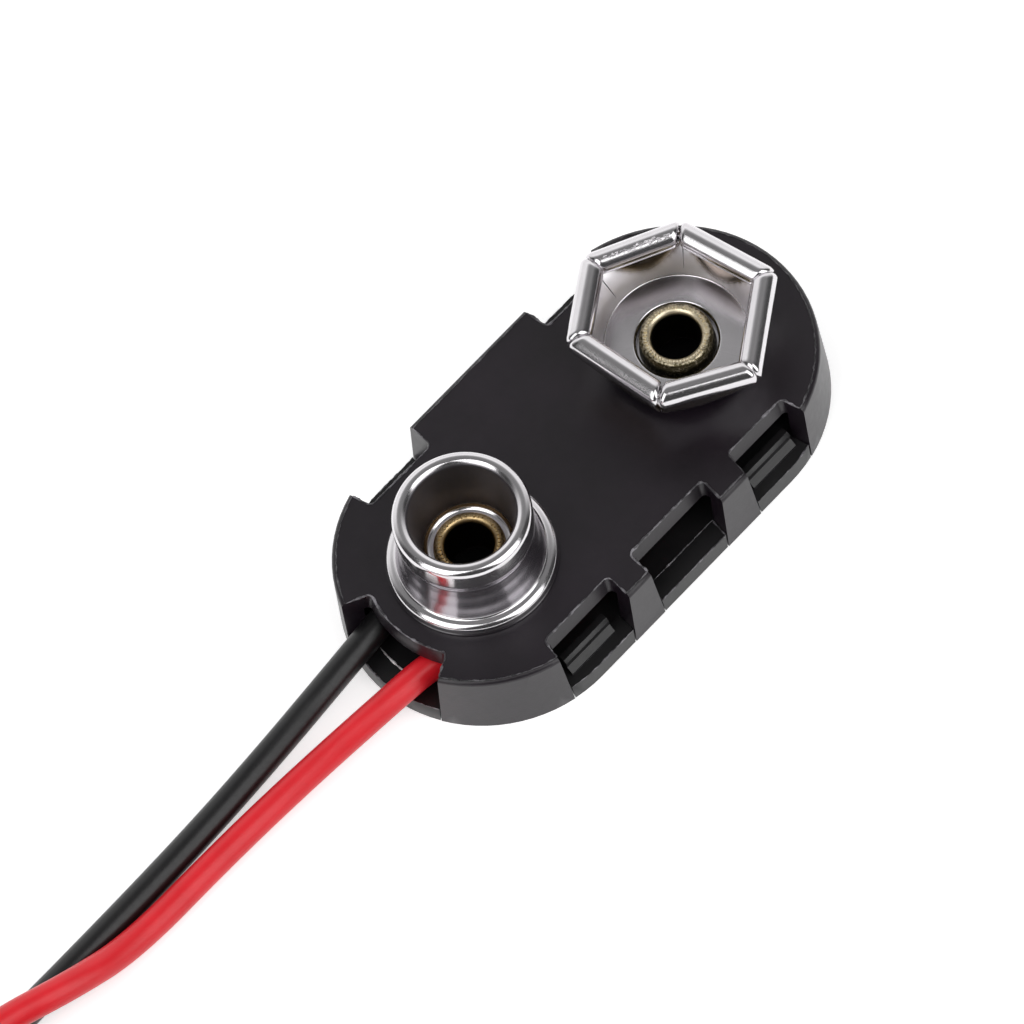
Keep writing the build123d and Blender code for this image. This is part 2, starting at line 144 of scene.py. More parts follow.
def ramp(tree, factor, dark, light, stops=(0.3, 0.7)):
    node = addNode(tree, "ShaderNodeValToRGB", {"Fac": factor})
    for element, place, colour in zip(node.color_ramp.elements, stops, (dark, light)):
        element.position = place
        element.color = (*colour, 1)
    return node.outputs["Color"]


def bump(tree, heights, distance, below=None):
    # each height comes with its strength and is laid on the one before
    for height, strength in heights:
        node = addNode(tree, "ShaderNodeBump", {"Height": height, "Strength": strength, "Distance": distance})
        if below:
            feed(node, {"Normal": below})
        below = node.outputs["Normal"]
    return below


def fromAxis(tree, centre):
    # the place on the piece, seen from the upright axis through the centre
    place = addNode(tree, "ShaderNodeTexCoord").outputs["Object"]
    return vectorMaths(tree, "SUBTRACT", place, (centre[0] * mm, centre[1] * mm, 0))["Vector"]


def insideRing(tree, ring):
    # 1 inside the radius and above the height, with soft limits, and 0 elsewhere; a top, a smaller radius
    # to stay beyond and an attribute of the mesh can narrow it
    place = fromAxis(tree, ring["centre"])
    flat = vectorMaths(tree, "MULTIPLY", place, (1, 1, 0))["Vector"]
    distance = vectorMaths(tree, "LENGTH", flat)["Value"]
    height = addNode(tree, "ShaderNodeSeparateXYZ", {"Vector": place}).outputs["Z"]
    limits = [(distance, ring["radius"][::-1]), (height, ring["height"])]
    if "top" in ring:
        limits.append((height, ring["top"][::-1]))
    if "beyond" in ring:
        limits.append((distance, ring["beyond"]))
    masks = [mapRange(tree, value, (gone * mm, full * mm), kind="SMOOTHSTEP") for value, (gone, full) in limits]
    if "attribute" in ring:
        masks.append(addNode(tree, "ShaderNodeAttribute", attribute_name=ring["attribute"]).outputs["Fac"])
    whole = masks[0]
    for mask in masks[1:]:
        whole = maths(tree, "MULTIPLY", whole, mask)
    return whole


def shadeWhere(tree, colour, mask, shade):
    # the colour times the shade where the mask is 1
    inputs = {"Factor": mask, 6: colour, 7: (*shade, 1)}
    return addNode(tree, "ShaderNodeMix", inputs, data_type="RGBA", blend_type="MULTIPLY").outputs[2]


# Small helpers for geometry trees

def startGeometryTree(name, wanted):
    # a tree with the wanted inputs, their identifiers for a modifier, and the outputs of its input node
    tree = bpy.data.node_groups.new(name, "GeometryNodeTree")
    face = tree.interface
    face.new_socket("Geometry", in_out="INPUT", socket_type="NodeSocketGeometry")
    sockets = {}
    for label, kind in wanted.items():
        sockets[label] = face.new_socket(label, in_out="INPUT", socket_type="NodeSocket" + kind).identifier
    face.new_socket("Geometry", in_out="OUTPUT", socket_type="NodeSocketGeometry")
    return tree, sockets, addNode(tree, "NodeGroupInput").outputs


def joined(tree, *parts):
    both = addNode(tree, "GeometryNodeJoinGeometry")
    for part in parts:
        feed(both, {"Geometry": part})
    return both.outputs["Geometry"]


def sweep(tree, curve, radius, resolution, **scale):
    # a round wire along the curve
    ring = addNode(tree, "GeometryNodeCurvePrimitiveCircle", {"Resolution": resolution, "Radius": radius})
    inputs = {"Curve": curve, "Profile Curve": ring.outputs["Curve"], "Fill Caps": True, **scale}
    return addNode(tree, "GeometryNodeCurveToMesh", inputs).outputs["Mesh"]


def endGeometryTree(tree, geometry, material):
    real = addNode(tree, "GeometryNodeRealizeInstances", {"Geometry": geometry})
    smooth = addNode(tree, "GeometryNodeSetShadeSmooth", {"Geometry": real.outputs["Geometry"]})
    inputs = {"Geometry": smooth.outputs["Geometry"], "Material": material}
    finish = addNode(tree, "GeometryNodeSetMaterial", inputs)
    addNode(tree, "NodeGroupOutput", {"Geometry": finish.outputs["Geometry"]})


def bakeNodes(piece, tree, sockets, values):
    grown = piece.modifiers.new("grown", "NODES")
    grown.node_group = tree
    for name, value in values.items():
        grown[sockets[name]] = value
    bpy.context.view_layer.update()
    evaluated = piece.evaluated_get(bpy.context.evaluated_depsgraph_get())
    mesh = bpy.data.meshes.new_from_object(evaluated)
    piece.modifiers.remove(grown)
    piece.data = mesh


# Small helpers for sheet-metal shapes; lengths in millimetres until the mesh is written

def roundedPath(corners, radii, longest=0.12, bend=9):
    # a path through the corners, each inner corner rounded, with its long runs divided
    path = [Vector(corners[0])]
    for before, corner, after, radius in zip(corners, corners[1:], corners[2:], radii):
        here = Vector(corner)
        back = (Vector(before) - here).normalized()
        ahead = (Vector(after) - here).normalized()
        half = back.angle(ahead) / 2
        middle = here + (back + ahead).normalized() * (radius / math.sin(half))
        first = here + back * (radius / math.tan(half)) - middle
        last = here + ahead * (radius / math.tan(half)) - middle
        swing = math.atan2(first.x * last.y - first.y * last.x, first.dot(last))
        steps = max(2, math.ceil(abs(math.degrees(swing)) / bend), math.ceil(abs(swing) * radius / longest))
        begin = math.atan2(first.y, first.x)
        for step in range(steps + 1):
            angle = begin + swing * step / steps
            path.append(middle + Vector((math.cos(angle), math.sin(angle))) * radius)
    path.append(Vector(corners[-1]))
    shortest = 0.0005
    fine = [path[0]]
    for point in path[1:]:
        start = fine[-1]
        run = (point - start).length
        pieces = max(1, math.ceil(run / longest))
        if run > shortest:
            fine += [start.lerp(point, piece / pieces) for piece in range(1, pieces + 1)]
    return fine


def placeMesh(name, vertices, faces, material):
    mesh = bpy.data.meshes.new(name)
    mesh.from_pydata([[c * mm for c in vertex] for vertex in vertices], [], faces)
    build = bmesh.new()
    build.from_mesh(mesh)
    bmesh.ops.remove_doubles(build, verts=build.verts, dist=0.001 * mm)
    bmesh.ops.recalc_face_normals(build, faces=build.faces)
    for face in build.faces:
        face.smooth = True
    build.to_mesh(mesh)
    build.free()
    mesh.materials.append(material)
    return addObject(name, mesh)


def spinSection(name, section, centre, base, material, steps):
    vertices = []
    faces = []
    rows = len(section)
    for step in range(steps):
        angle = 2 * math.pi * step / steps
        for point in section:
            x = centre[0] + point.x * math.cos(angle)
            y = centre[1] + point.x * math.sin(angle)
            vertices.append((x, y, base + point.y))
        for row in range(rows - 1):
            here = step * rows + row
            beside = (step + 1) % steps * rows + row
            faces.append((here, beside, beside + 1, here + 1))
    return placeMesh(name, vertices, faces, material)


def addModifier(piece, name, kind, **settings):
    modifier = piece.modifiers.new(name, kind)
    for key, value in settings.items():
        setattr(modifier, key, value)


def giveThickness(piece, sheet, edge):
    addModifier(piece, "sheet", "SOLIDIFY", thickness=sheet * mm, offset=0, use_even_offset=True)
    addModifier(
        piece, "softEdge", "BEVEL", width=edge * mm, segments=2,
        limit_method="ANGLE", angle_limit=math.radians(50),
    )


def standFor(piece, nodeName):
    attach(piece, "root")
    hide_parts(nodeName)


def ease(value):
    share = min(max(value, 0), 1)
    return share * share * (3 - 2 * share)


# Finishes

housingFinish = {
    "colour": (0.0084, 0.0052, 0.0088), "uneven": (0.8, 1.25), "roughness": (0.28, 0.42), "grain": 0.000004,
    "index": 1.5,
}


def makeHousingPlastic(name, settings):
    material, tree, shader = startMaterial(name)
    cloud = objectNoise(tree, scale=420, detail=3)
    grain = objectNoise(tree, scale=9000, detail=2)
    dust = objectNoise(tree, scale=2600, detail=4, rough=0.7)
    dark, light = ([share * c for c in settings["colour"]] for share in settings["uneven"])
    feed(shader, {
        "Base Color": ramp(tree, cloud, dark, light),
        "Roughness": mapRange(tree, dust, target=settings["roughness"]),
        "IOR": settings["index"],
        "Normal": bump(tree, [(grain, 0.6), (cloud, 0.35)], settings["grain"]),
    })
    return material


edgeHighlightFinish = {
    "dark": (0.02, 0.0195, 0.021), "pale": (0.12, 0.115, 0.124), "roughness": (0.2, 0.45), "grain": 0.000012,
    "index": 1.5,
}


def makeEdgeHighlight(name, settings):
    # the moulded edges, coloured pale in small uneven patches: a painted highlight along them
    material, tree, shader = startMaterial(name)
    speckNoise = objectNoise(tree, scale=3200, detail=3, rough=0.65)
    patches = objectNoise(tree, scale=800, detail=2)
    spread = maths(tree, "MULTIPLY", speckNoise, patches)
    feed(shader, {
        "Base Color": ramp(tree, spread, settings["dark"], settings["pale"], stops=(0.2, 0.36)),
        "Roughness": mapRange(tree, speckNoise, target=settings["roughness"]),
        "IOR": settings["index"],
        "Normal": bump(tree, [(speckNoise, 0.8)], settings["grain"]),
    })
    return material


platedFinish = {"colour": (0.72, 0.7, 0.72), "roughness": (0.12, 0.19)}


def makePlated(name, settings):
    # bright plate, with rings where shade and light are painted into its tone and its roughness is raised, and
    # with marks of drawing where they are given
    material, tree, shader = startMaterial(name)
    cloud = objectNoise(tree, scale=700, detail=3)
    streaks = objectNoise(tree, scale=2200, detail=3, stretch=(1, 14, 1))
    fine = objectNoise(tree, scale=14000, detail=2)
    tone = ramp(tree, cloud, [0.93 * c for c in settings["colour"]], settings["colour"])
    shine = mapRange(tree, streaks, target=settings["roughness"])
    normal = bump(tree, [(streaks, 0.25), (fine, 0.12)], 0.000004)
    for ring in settings.get("rings", []):
        mask = insideRing(tree, ring)
        tone = shadeWhere(tree, tone, mask, ring["shade"])
        shine = maths(tree, "MULTIPLY_ADD", mask, ring["rougher"], shine)
    if "marks" in settings:
        normal = drawMarks(tree, normal, settings["marks"])
    feed(shader, {"Metallic": 1.0, "Base Color": tone, "Roughness": shine, "Normal": normal})
    return material


def drawMarks(tree, below, marks):
    # fine marks that fan out from the middle, where the cup was drawn
    apart = addNode(tree, "ShaderNodeSeparateXYZ", {"Vector": fromAxis(tree, marks["centre"])}).outputs
    angle = maths(tree, "ARCTAN2", apart["Y"], apart["X"])
    around = maths(tree, "MULTIPLY", angle, marks["perRadian"])
    upward = maths(tree, "MULTIPLY", apart["Z"], marks["perMetre"])
    polar = addNode(tree, "ShaderNodeCombineXYZ", {"X": around, "Y": upward}).outputs["Vector"]
    noise = addNode(tree, "ShaderNodeTexNoise", {"Vector": polar, "Scale": 1.0, "Detail": 4, "Roughness": 0.65})
    strength = maths(tree, "MULTIPLY", insideRing(tree, marks), marks["strength"])
    return bump(tree, [(noise.outputs["Fac"], strength)], marks["depth"], below)


brassFinish = {
    "light": (0.62, 0.46, 0.24), "dark": (0.24, 0.15, 0.06), "roughness": (0.24, 0.46), "edge": (1.3, 1.5),
    "bore": (1.08, 1.16), "boreTop": (0.02, 0.2), "borePaintedShade": (0.05, 0.045, 0.04), "cloudy": 0.8,
    "grains": (0.36, 0.62), "specks": (-0.55, 0.1),
}


def makeBrass(name, settings, centre, top):
    # a painted highlight round the top of the roll, darker outwards, and painted shade nearly black down the
    # bore
    material, tree, shader = startMaterial(name)
    cloud = objectNoise(tree, scale=2600, detail=4)
    fine = objectNoise(tree, scale=12000, detail=3)
    grains = objectNoise(tree, scale=8500, detail=2, rough=0.6)
    inner = insideRing(tree, {"centre": centre, "radius": settings["edge"], "height": (0.0, 0.1)})
    mixed = maths(tree, "MULTIPLY_ADD", cloud, settings["cloudy"], inner)
    specks = mapRange(tree, grains, settings["grains"], settings["specks"])
    speckled = maths(tree, "ADD", mixed, specks)
    tone = ramp(tree, speckled, settings["dark"], settings["light"], stops=(0.3, 1.0))
    # painted shade down the bore
    depths = [top - drop for drop in settings["boreTop"]]
    boreShadeMask = insideRing(tree, {"centre": centre, "radius": settings["bore"], "height": depths})
    feed(shader, {
        "Metallic": 1.0,
        "Base Color": shadeWhere(tree, tone, boreShadeMask, settings["borePaintedShade"]),
        "Roughness": mapRange(tree, cloud, target=settings["roughness"]),
        "Normal": bump(tree, [(cloud, 0.5), (fine, 0.3)], 0.00001),
    })
    return material


insulationFinish = {"roughness": (0.3, 0.44), "index": 1.48, "grain": 0.000012}


def makeInsulation(name, light, dark, settings):
    material, tree, shader = startMaterial(name)
    cloud = objectNoise(tree, scale=500, detail=3)
    skin = objectNoise(tree, scale=5200, detail=3)
    feed(shader, {
        "Base Color": ramp(tree, cloud, dark, light),
        "Roughness": mapRange(tree, skin, target=settings["roughness"]),
        "IOR": settings["index"],
        "Normal": bump(tree, [(skin, 0.35), (cloud, 0.5)], settings["grain"]),
    })
    return material


housingPlastic = makeHousingPlastic("housingPlastic", housingFinish)
coverPlastic = makeHousingPlastic("coverPlastic", {**housingFinish, "colour": (0.0058, 0.0054, 0.006)})
# the pale material of the moulded edges: a painted highlight
housingEdgeHighlight = makeEdgeHighlight("housingEdgeHighlight", edgeHighlightFinish)
# paler tones for the beads along the plate's and tabs' edges: painted highlights
highlightLineTones = {"dark": (0.035, 0.033, 0.037), "pale": (0.24, 0.23, 0.25)}
highlightLinePlastic = makeEdgeHighlight("highlightLinePlastic", {**edgeHighlightFinish, **highlightLineTones})
# a near-white tone for the bead across the wire notch: a painted glint
glintTones = {"dark": (0.3, 0.29, 0.3), "pale": (0.8, 0.78, 0.8)}
glintPlastic = makeEdgeHighlight("glintPlastic", {**edgeHighlightFinish, **glintTones})

# painted shade inside the stud's cup, with more roughness
studInsidePaintedShade = {
    "centre": (-6.35, 0.0), "radius": (2.26, 2.4), "height": (4.72, 4.95), "shade": (0.26, 0.25, 0.265),
    "rougher": 0.3,
}
# painted shade on the stud's neck, darkening what it reflects, with more roughness
studNeckPaintedShade = {
    "centre": (-6.35, 0.0), "radius": (3.1, 3.3), "beyond": (2.46, 2.56), "height": (4.2, 4.4),
    "top": (6.5, 6.75), "shade": (0.6, 0.58, 0.61), "rougher": 0.06,
}
# painted light: the drawn cone between the petals made paler, with more roughness; its marks are bumps
socketConePaintedLight = {
    "centre": (6.35, 0.0), "radius": (4.3, 4.5), "height": (4.25, 4.45), "top": (6.1, 6.4),
    "attribute": "onCone", "shade": (1.3, 1.3, 1.3), "rougher": 0.17,
}
# painted shade, tinted brown, on the petals' flat faces under the rolls
socketRecessPaintedShade = {**socketConePaintedLight, "attribute": "onPetal", "shade": (0.44, 0.38, 0.32), "rougher": 0.0}
coneMarks = {**socketConePaintedLight, "perRadian": 75, "perMetre": 800, "strength": 0.8, "depth": 0.000012}
studPlate = makePlated("studPlate", {**platedFinish, "rings": [studInsidePaintedShade, studNeckPaintedShade]})
socketPlate = makePlated("socketPlate", {
    "colour": platedFinish["colour"], "roughness": (0.12, 0.22), "rings": [socketConePaintedLight, socketRecessPaintedShade],
    "marks": coneMarks,
})
tagTin = makePlated("tagTin", {"colour": (0.7, 0.68, 0.64), "roughness": (0.2, 0.36)})
solderTin = makePlated("solderTin", {"colour": (0.66, 0.66, 0.67), "roughness": (0.16, 0.4)})
strandTin = makePlated("strandTin", {"colour": (0.68, 0.67, 0.66), "roughness": (0.2, 0.36)})
blackTones = [(0.0062, 0.006, 0.0065), (0.0045, 0.0042, 0.0046)]
blackInsulation = makeInsulation("blackInsulation", *blackTones, insulationFinish)
redTones = [(0.78, 0.014, 0.025), (0.68, 0.01, 0.018)]
redInsulation = makeInsulation("redInsulation", *redTones, insulationFinish)

for contact in ("stud", "socket"):
    setMaterial(nodes[contact + "_solder_tag"], tagTin)
    setMaterial(nodes[contact + "_solder_joint"], solderTin)
print("finishes made")


# Stud: one drawn sheet, from the flange up the neck, over the rolled rim and down to its floor

stud = {
    "centre": (-6.35, 0.0),
    "base": 3.6,
    "sheet": 0.2,
    "edge": 0.03,
    "corners": [
        (3.56, 0.0), (3.51, 0.12), (3.5, 0.44), (3.1, 0.52), (2.86, 1.15), (2.7, 1.8), (2.62, 2.35),
        (2.83, 2.9), (2.83, 4.04), (2.38, 4.04), (2.28, 3.3), (1.98, 0.9), (1.36, 0.9),
    ],
    "bends": [0.12, 0.2, 0.24, 2.5, 2.5, 0.6, 0.5, 0.22, 0.215, 1.6, 0.42],
    "steps": 192,
}
studSection = roundedPath(stud["corners"], stud["bends"], longest=0.1, bend=7)
studSheet = spinSection("studSheet", studSection, stud["centre"], stud["base"], studPlate, stud["steps"])
giveThickness(studSheet, stud["sheet"], stud["edge"])
standFor(studSheet, "stud_contact")
print("stud drawn")


# Socket: a dished cup whose wall follows a cone below and six flat petals above, each rolled inwards

socket = {
    "centre": (6.35, 0.0),
    "base": 3.6,
    "sheet": 0.22,
    "edge": 0.018,
    "corners": [(-3.6, -2.52), (0.13, -4.93), (4.33, -2.08), (3.58, 2.68), (-0.38, 4.76), (-3.92, 2.43)],
    "dish": [(1.3, 0.11), (1.84, 0.11), (1.84, 0.61), (3.1, 0.61), (4.297, 2.78)],
    "dishBends": [0.12, 0.04, 0.16],
    "floor": 0.61,
    "floorReach": 2.4,
    "flare": 0.62,
    "blend": 0.1,
    "coneEdge": 0.1,
    "petalRise": 2.78,
    "spread": 0.9,
    "lean": 15.6,
    "setIn": 0.125,
    "rollRadius": 0.415,
    "rollSweep": 215,
    "rollSteps": 36,
    "rollEase": 6,
    "curlRadius": 0.26,
    "curlSweep": 190,
    "curlSteps": 18,
    "petalGap": 0.24,
    "endRound": (0.16, 0.09),
    "narrowing": 0.38,
    "slitStart": 3.3,
    "slit": (0.01, 0.04),
    "columns": [0, 0.015, 0.04, 0.075, 0.12, 0.17, 0.26],
    "innerColumns": 14,
}


def petalPlanes(settings):
    planes = []
    corners = [Vector(corner) for corner in settings["corners"]]
    for start, end in zip(corners, corners[1:] + corners[:1]):
        side = end - start
        outward = Vector((side.y, -side.x)).normalized()
        middle = (start + end) / 2
        apothem = middle.dot(outward)
        startAngle = math.atan2(start.y, start.x)
        endAngle = math.atan2(end.y, end.x)
        if endAngle < startAngle:
            endAngle += 2 * math.pi
        planes.append({
            "outward": outward,
            "along": side.normalized(),
            "foot": middle - outward * apothem,
            "wall": apothem - settings["setIn"],
            "half": side.length / 2 - settings["petalGap"],
            "angles": (startAngle, endAngle),
        })
    return planes


def leanIn(settings, height):
    # how far a petal's plane has come inwards at a height below its top
    return (settings["petalRise"] - height) * math.tan(math.radians(settings["lean"]))


def wallRadius(planes, angle, height, coneRadius, settings):
    # the nearer of the cone and the petals' planes, with a soft bend where they meet
    reach = 99.0
    sideways = 0.3
    drop = leanIn(settings, height)
    for plane in planes:
        facing = plane["outward"].x * math.cos(angle) + plane["outward"].y * math.sin(angle)
        if facing > sideways:
            reach = min(reach, (plane["wall"] - drop) / facing)
    soft = settings["blend"]
    share = max(soft - abs(coneRadius - reach), 0) / soft
    return min(coneRadius, reach) - share * share * soft / 4


def rollSection(plane, settings, trim=0.0):
    # the rolled top of a petal: a large arc inwards and a smaller curl inside it
    lean = math.radians(settings["lean"])
    radius = settings["rollRadius"]
    middle = Vector((plane["wall"] - radius * math.cos(lean), settings["petalRise"] + radius * math.sin(lean)))
    section = []
    for step in range(1, settings["rollSteps"] + 1):
        angle = -lean + math.radians(settings["rollSweep"]) * step / settings["rollSteps"]
        reach = radius - trim * min(step / settings["rollEase"], 1)
        section.append(middle + Vector((math.cos(angle), math.sin(angle))) * reach)
    turned = -lean + math.radians(settings["rollSweep"])
    inner = settings["curlRadius"]
    middle = middle + Vector((math.cos(turned), math.sin(turned))) * (radius - inner)
    for step in range(1, settings["curlSteps"] + 1):
        angle = turned + math.radians(settings["curlSweep"]) * step / settings["curlSteps"]
        section.append(middle + Vector((math.cos(angle), math.sin(angle))) * (inner - trim))
    return section


def petalShares(half, settings):
    # where the columns of a petal lie, closer together at its two rounded ends
    ends = [distance / half for distance in settings["columns"]]
    count = settings["innerColumns"]
    inner = [ends[-1] + (2 - 2 * ends[-1]) * step / count for step in range(1, count)]
    spots = ends + inner + [2 - end for end in reversed(ends)]
    return [spot - 1 for spot in spots]


def dishRows(plane, planes, shares, settings):
    # the cup's floor and wall below one petal, whose columns turn from even steps to the petal's own
    slack = 0.2
    tops = []
    for share in shares:
        spot = plane["foot"] + plane["outward"] * plane["wall"] + plane["along"] * plane["half"] * share
        topAngle = math.atan2(spot.y, spot.x)
        if topAngle < plane["angles"][0] - slack:
            topAngle += 2 * math.pi
        tops.append(topAngle)
    rise, floor, spread = settings["petalRise"], settings["floor"], settings["spread"]
    start, end = plane["angles"]
    rows = []
    for point in roundedPath(settings["dish"], settings["dishBends"], longest=0.09, bend=7):
        row = []
        climb = ease((point.y - (rise - spread)) / spread)
        apart = settings["slit"][0] + settings["slit"][1] * (max(point.y, 0) / rise) ** 2
        coneRadius = point.x + settings["flare"] * max((point.y - floor) / (rise - floor), 0) ** 3
        trim = apart / point.x if point.x > settings["slitStart"] else 0
        for top in tops:
            share = (top - tops[0]) / (tops[-1] - tops[0])
            low = start + trim + (end - start - 2 * trim) * share
            angle = low + (top - low) * climb
            radius = point.x
            if point.x > settings["floorReach"]:
                radius = wallRadius(planes, angle, point.y, coneRadius, settings)
            row.append((radius * math.cos(angle), radius * math.sin(angle), point.y))
        rows.append(row)
    return rows


def rollRows(plane, shares, settings):
    # one petal's roll, which narrows inwards and is rounded at its two ends
    depth, drop = settings["endRound"]
    trims = []
    for share in shares:
        fromEnd = max(1 - (1 - abs(share)) * plane["half"] / depth, 0)
        trims.append(drop * (1 - math.sqrt(1 - min(fromEnd, 0.999) ** 2)))
    columns = [rollSection(plane, settings, trim) for trim in trims]
    width = 2 * settings["rollRadius"] * math.cos(math.radians(settings["lean"]))
    rows = []
    for step, middlePoint in enumerate(rollSection(plane, settings)):
        inset = (plane["wall"] - middlePoint.x) / width
        half = plane["half"] - settings["narrowing"] * max(inset, 0)
        row = []
        for share, column in zip(shares, columns):
            spot = plane["foot"] + plane["outward"] * column[step].x + plane["along"] * half * share
            row.append((spot.x, spot.y, column[step].y))
        rows.append(row)
    return rows


def makeSocketSheet(settings, material):
    planes = petalPlanes(settings)
    centre, base = settings["centre"], settings["base"]
    vertices = []
    faces = []
    for plane in planes:
        shares = petalShares(plane["half"], settings)
        rows = dishRows(plane, planes, shares, settings) + rollRows(plane, shares, settings)
        width = len(shares)
        first = len(vertices)
        for row in rows:
            vertices += [(x + centre[0], y + centre[1], z + base) for x, y, z in row]
        for row in range(len(rows) - 1):
            for column in range(width - 1):
                corner = first + row * width + column
                faces.append((corner, corner + 1, corner + width + 1, corner + width))
    return placeMesh("socketSheet", vertices, faces, material)


def markFaces(piece, settings):
    # onCone is 1 on the drawn cone between the petals; onPetal is 1 on their flat faces; they mask the painted
    # light on the cone and the painted shade on the faces
    planes = petalPlanes(settings)
    cone = piece.data.attributes.new("onCone", "FLOAT", "POINT")
    petal = piece.data.attributes.new("onPetal", "FLOAT", "POINT")
    for vertex in piece.data.vertices:
        x, y, z = vertex.co / mm
        x, y, z = x - settings["centre"][0], y - settings["centre"][1], z - settings["base"]
        drop = leanIn(settings, z)
        outs = [plane["outward"].x * x + plane["outward"].y * y for plane in planes]
        reach = min(plane["wall"] - drop - out for plane, out in zip(planes, outs))
        cone.data[vertex.index].value = ease(reach / settings["coneEdge"])
        petal.data[vertex.index].value = 1 - cone.data[vertex.index].value


socketSheet = makeSocketSheet(socket, socketPlate)
markFaces(socketSheet, socket)
giveThickness(socketSheet, socket["sheet"], socket["edge"])
standFor(socketSheet, "socket_contact")
print("socket rolled")


# Eyelets: rolled over above the contact and turned out under the tag, with crimp marks round the top

eyelets = {
    "bore": 1.15,
    "turnedOut": 1.75,
    "bottom": 2.4,
    "sheet": 0.2,
    "lowerBend": 0.14,
    "slack": 0.001,
    "steps": 120,
    "markLift": 0.092,
    "markSize": (0.22, 0.09, 0.19),
    "stud": {
        "centre": (-6.35, 0.0), "seat": 4.6, "rise": 0.37, "head": 1.4, "foot": 1.43, "marks": 44, "tones": {},
    },
    "socket": {
        "centre": (6.35, 0.0), "seat": 3.82, "rise": 0.95, "head": 1.46, "foot": 1.54, "marks": 52,
        # its pale tone round the top of the roll is a painted highlight
        "tones": {"light": (0.78, 0.69, 0.5), "dark": (0.1, 0.085, 0.045)},
    },
}


def crimpTree():
    # small radial ridges round the top of the roll, joined to the eyelet
    tree, sockets, given = startGeometryTree("crimpMarks", {
        "Count": "Int", "Ring radius": "Float", "Middle": "Vector", "Mark size": "Vector", "Brass": "Material",
    })
    ring = addNode(tree, "GeometryNodeMeshCircle", {"Vertices": given["Count"], "Radius": given["Ring radius"]})
    inputs = {"Geometry": ring.outputs["Mesh"], "Translation": given["Middle"]}
    place = addNode(tree, "GeometryNodeTransform", inputs)
    mark = addNode(tree, "GeometryNodeMeshIcoSphere", {"Subdivisions": 2, "Radius": 0.5})
    where = addNode(tree, "GeometryNodeInputPosition").outputs["Position"]
    away = vectorMaths(tree, "SUBTRACT", where, given["Middle"])["Vector"]
    turned = addNode(tree, "FunctionNodeAlignRotationToVector", {"Vector": away}, axis="X")
    inputs = {"Min": (0.5, 0.6, 0.4), "Max": (1.15, 1.2, 1.3), "Seed": 5}
    uneven = addNode(tree, "FunctionNodeRandomValue", inputs, data_type="FLOAT_VECTOR")
    scaled = vectorMaths(tree, "MULTIPLY", given["Mark size"], uneven.outputs["Value"])["Vector"]
    spread = addNode(tree, "GeometryNodeInstanceOnPoints", {
        "Points": place.outputs["Geometry"], "Instance": mark.outputs["Mesh"],
        "Rotation": turned.outputs["Rotation"], "Scale": scaled,
    })
    endGeometryTree(tree, joined(tree, spread.outputs["Instances"], given["Geometry"]), given["Brass"])
    return tree, sockets


crimps, crimpSockets = crimpTree()


def makeEyelet(contact, settings):
    eyelet = settings[contact]
    bore, bottom, head, centre = settings["bore"], settings["bottom"], eyelet["head"], eyelet["centre"]
    top = eyelet["seat"] + eyelet["rise"] - settings["sheet"] / 2
    corners = [(settings["turnedOut"], bottom), (bore, bottom), (bore, top), (head, top)]
    corners.append((eyelet["foot"], eyelet["seat"]))
    rollRadius = (head - bore) / 2 - settings["slack"]
    section = roundedPath(corners, [settings["lowerBend"], rollRadius, rollRadius], longest=0.12, bend=12)
    brass = makeBrass(contact + "Brass", {**brassFinish, **eyelet["tones"]}, centre, top)
    rolled = spinSection(contact + "Eyelet", section, centre, 0.0, brass, settings["steps"])
    addModifier(rolled, "sheet", "SOLIDIFY", thickness=settings["sheet"] * mm, offset=0)
    bakeNodes(rolled, crimps, crimpSockets, {
        "Count": eyelet["marks"],
        "Ring radius": (bore + head) / 2 * mm,
        "Middle": (centre[0] * mm, centre[1] * mm, (top + settings["markLift"]) * mm),
        "Mark size": [length * mm for length in settings["markSize"]],
        "Brass": brass,
    })
    rolled.modifiers.clear()
    standFor(rolled, contact + "_rivet")


makeEyelet("stud", eyelets)
makeEyelet("socket", eyelets)
print("eyelets crimped")


# Housing and cover: the moulded shape of the CAD, with the small rounding that its edges have, which takes a
# pale material as a painted highlight

moulding = {"merge": 0.0005, "flat": 1.2, "sharp": 28, "edge": 0.07, "segments": 2}


def softMoulding(name, nodeName, plastic, settings):
    mesh = nodes[nodeName].data.copy()
    build = bmesh.new()
    build.from_mesh(mesh)
    bmesh.ops.remove_doubles(build, verts=build.verts, dist=settings["merge"] * mm)
    flat = math.radians(settings["flat"])
    bmesh.ops.dissolve_limit(build, angle_limit=flat, verts=build.verts, edges=build.edges)
    for face in build.faces:
        face.smooth = True
    build.to_mesh(mesh)
    build.free()
    piece = addObject(name, mesh)
    mesh.materials.clear()
    mesh.materials.append(plastic)
    mesh.materials.append(housingEdgeHighlight)
    # the rounding takes the second material, the edges' painted highlight
    addModifier(
        piece, "rounding", "BEVEL", width=settings["edge"] * mm, segments=settings["segments"],
        limit_method="ANGLE", angle_limit=math.radians(settings["sharp"]), use_clamp_overlap=True, material=1,
    )
    addModifier(piece, "flats", "WEIGHTED_NORMAL", mode="FACE_AREA_WITH_ANGLE", weight=100)
    standFor(piece, nodeName)


softMoulding("mouldedHousing", "housing", housingPlastic, moulding)
softMoulding("mouldedCover", "base_cover", coverPlastic, {**moulding, "edge": 0.045})
print("mouldings softened")


# Highlight lines: thin uneven raised beads along the edges of the plate and of the cover's tabs, coloured pale
# as painted highlights

highlightLines = {"step": 0.09, "thickness": 0.046, "wander": 0.07, "perMetre": 5200, "patches": 900}
# where those edges lie, in millimetres
lips = {
    "upright": 0.99,
    "level": 0.02,
    "plateTop": 3.6,
    "tabTop": 0.92,
    "spineHalf": 5.85,
    "rim": 6.0,
    "tabRim": 5.9,
    "contactAt": 6.35,
    "contactRadius": 3.2,
    "middleTab": (2.2, -5.2),
    "wireTab": ((-11.4, -11.0), (-0.6, 1.35)),
}


